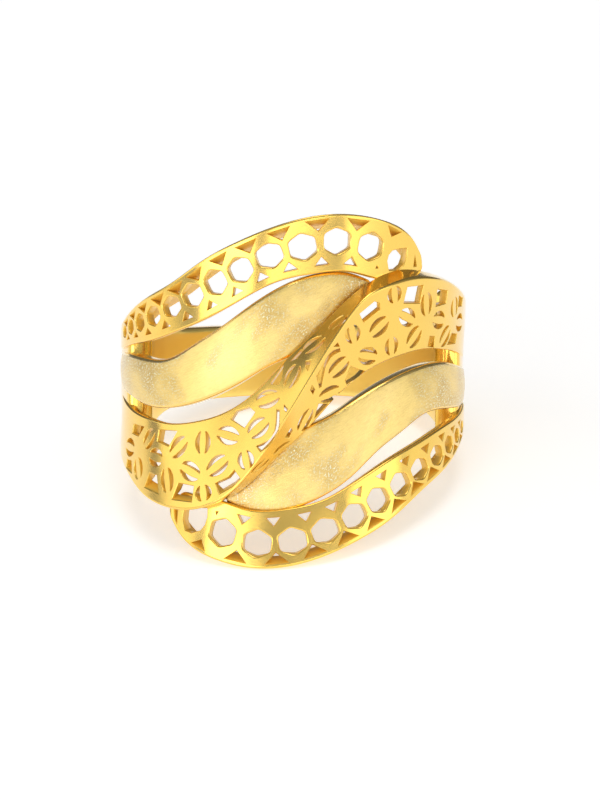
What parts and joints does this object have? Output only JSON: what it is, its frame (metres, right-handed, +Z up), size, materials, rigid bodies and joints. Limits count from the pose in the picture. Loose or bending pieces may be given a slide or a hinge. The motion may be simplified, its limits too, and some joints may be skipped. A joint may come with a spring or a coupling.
{
  "type": "finger ring",
  "caption": "Wide gold finger ring whose face is crossing ribbons: pierced honeycomb outside, satin between, and a folded pierced flower band.",
  "frame": {"origin": "middle of the footprint, on the surface that the ring lies on", "axes": "+Z up as the ring lies on its side, along its shortest extent; the face looks towards -Y and a little up, and +Y, from the face to the back, is its longest extent; +X to the right of the face"},
  "size_m": [0.0222, 0.0246, 0.0198],
  "materials": {
    "gold": "polished yellow gold, with two satin ribbons"
  },
  "bodies": {
    "root": {"ring": "gold"}
  },
  "joints": []
}
